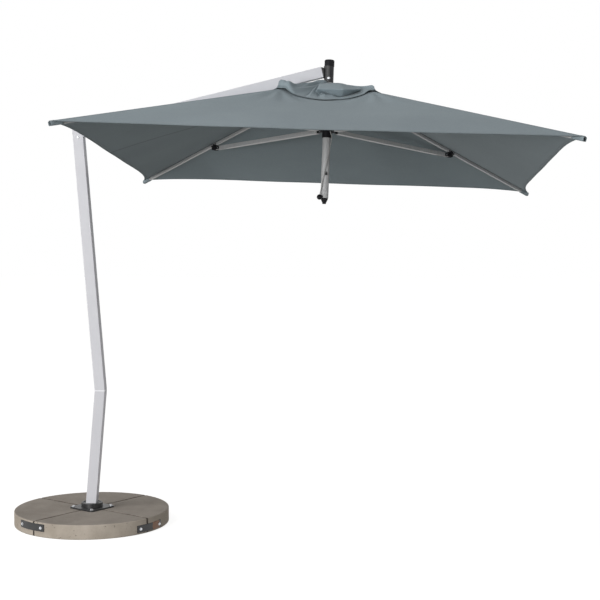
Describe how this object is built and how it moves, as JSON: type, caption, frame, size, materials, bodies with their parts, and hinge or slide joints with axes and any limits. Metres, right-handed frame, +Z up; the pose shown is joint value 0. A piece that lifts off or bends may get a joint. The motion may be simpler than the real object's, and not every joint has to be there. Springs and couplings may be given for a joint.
{
  "type": "cantilever patio umbrella",
  "caption": "Square canopy hung from a cranked mast and rising arm on a round concrete slab base; the mast swivels, the canopy rolls on the arm, and ribs, struts and runner fold it",
  "frame": {"origin": "centre of the round base's underside, on the swivel axis, at floor level", "axes": "+Z up; +X from the mast towards the canopy, along the arm; +Y to the back, away from the side that shows the base's front slab"},
  "size_m": [3.0437, 2.513, 2.6308],
  "materials": {
    "concrete": "matte",
    "black_steel": "satin",
    "bright_steel": "polished",
    "white_coat": "satin",
    "aluminium": "satin",
    "dark_aluminium": "satin",
    "black_plastic": "satin",
    "cloth": "matte",
    "cord": "matte"
  },
  "bodies": {
    "base": {"slab_front": "concrete", "slab_right": "concrete", "slab_back": "concrete", "slab_left": "concrete", "rim_plates": "black_steel", "rim_bolts": "bright_steel", "bottom_plate": "black_steel", "base_plate": "black_steel", "base_bolts": "bright_steel", "king_pin": "bright_steel"},
    "mast": {"mast_foot": "black_steel", "mast_lower": "white_coat", "mast_coupler": "black_steel", "mast_upper": "white_coat", "arm_elbow": "black_steel", "elbow_bolt": "bright_steel", "arm": "white_coat", "arm_bush": "black_plastic"},
    "head": {"head_bracket": "black_steel", "roll_spindle": "bright_steel", "pole_sleeve": "dark_aluminium", "head_bolt": "bright_steel", "pole": "aluminium", "pole_cap": "black_plastic", "pole_end": "black_plastic", "cord_hook": "black_plastic", "crown_hub": "black_plastic", "crown_pins": "bright_steel", "canopy": "cloth", "wind_vent": "cloth"},
    "runner": {"runner": "black_plastic", "runner_pins": "bright_steel", "pull_cord": "cord", "cord_ball": "black_plastic"},
    "rib_body_1": {"rib_1": "aluminium", "rib_root_1": "black_plastic", "rib_bracket_1": "black_plastic", "rib_tip_1": "black_plastic"},
    "rib_body_2": {"rib_2": "aluminium", "rib_root_2": "black_plastic", "rib_bracket_2": "black_plastic", "rib_tip_2": "black_plastic"},
    "rib_body_3": {"rib_3": "aluminium", "rib_root_3": "black_plastic", "rib_bracket_3": "black_plastic", "rib_tip_3": "black_plastic"},
    "rib_body_4": {"rib_4": "aluminium", "rib_root_4": "black_plastic", "rib_bracket_4": "black_plastic", "rib_tip_4": "black_plastic"},
    "strut_body_1": {"strut_1": "aluminium", "strut_ends_1": "black_plastic"},
    "strut_body_2": {"strut_2": "aluminium", "strut_ends_2": "black_plastic"},
    "strut_body_3": {"strut_3": "aluminium", "strut_ends_3": "black_plastic"},
    "strut_body_4": {"strut_4": "aluminium", "strut_ends_4": "black_plastic"}
  },
  "joints": [
    {"name": "mast_swivel", "type": "hinge", "parent": "base", "child": "mast", "pos_m": [0, 0, 0.113], "axis": [0, 0, 1], "continuous": true},
    {"name": "head_roll", "type": "hinge", "parent": "mast", "child": "head", "pos_m": [1.32611, 0, 2.55991], "axis": [0.9724, 0, 0.2334], "range_deg": [-20, 30]},
    {"name": "rib_fold_1", "type": "hinge", "parent": "head", "child": "rib_body_1", "pos_m": [1.30426, -0.06454, 2.47843], "axis": [0.7067, -0.7065, 0.037], "range_deg": [0, 72], "deforming": ["canopy", "wind_vent"]},
    {"name": "rib_fold_2", "type": "hinge", "parent": "head", "child": "rib_body_2", "pos_m": [1.41734, -0.06486, 2.47469], "axis": [0.7067, 0.7025, -0.0838], "range_deg": [0, 72]},
    {"name": "rib_fold_3", "type": "hinge", "parent": "head", "child": "rib_body_3", "pos_m": [1.41734, 0.04786, 2.46502], "axis": [-0.7067, 0.7065, -0.037], "range_deg": [0, 72]},
    {"name": "rib_fold_4", "type": "hinge", "parent": "head", "child": "rib_body_4", "pos_m": [1.30426, 0.04818, 2.46876], "axis": [-0.7067, -0.7025, 0.0838], "range_deg": [0, 72]},
    {"name": "runner_slide", "type": "slide", "parent": "head", "child": "runner", "axis": [0.0332, 0.0854, 0.9958], "range_m": [0, 0.211]},
    {"name": "strut_fold_1", "type": "hinge", "parent": "runner", "child": "strut_body_1", "pos_m": [1.32045, -0.06083, 2.24027], "axis": [0.7067, -0.7065, 0.037], "range_deg": [0, 84.59]},
    {"name": "strut_fold_2", "type": "hinge", "parent": "runner", "child": "strut_body_2", "pos_m": [1.38547, -0.06101, 2.23812], "axis": [0.7067, 0.7025, -0.0838], "range_deg": [0, 84.59]},
    {"name": "strut_fold_3", "type": "hinge", "parent": "runner", "child": "strut_body_3", "pos_m": [1.38547, 0.0038, 2.23257], "axis": [-0.7067, 0.7065, -0.037], "range_deg": [0, 84.59]},
    {"name": "strut_fold_4", "type": "hinge", "parent": "runner", "child": "strut_body_4", "pos_m": [1.32045, 0.00399, 2.23472], "axis": [-0.7067, -0.7025, 0.0838], "range_deg": [0, 84.59]}
  ],
  "couplings": [
    {"joint": "rib_fold_2", "follows": "rib_fold_1", "ratio": 1},
    {"joint": "rib_fold_3", "follows": "rib_fold_1", "ratio": 1},
    {"joint": "rib_fold_4", "follows": "rib_fold_1", "ratio": 1},
    {"joint": "runner_slide", "follows": "rib_fold_1", "m_per_rad": 0.16754},
    {"joint": "strut_fold_1", "follows": "rib_fold_1", "ratio": 1.1734},
    {"joint": "strut_fold_2", "follows": "rib_fold_1", "ratio": 1.1734},
    {"joint": "strut_fold_3", "follows": "rib_fold_1", "ratio": 1.1734},
    {"joint": "strut_fold_4", "follows": "rib_fold_1", "ratio": 1.1734}
  ]
}
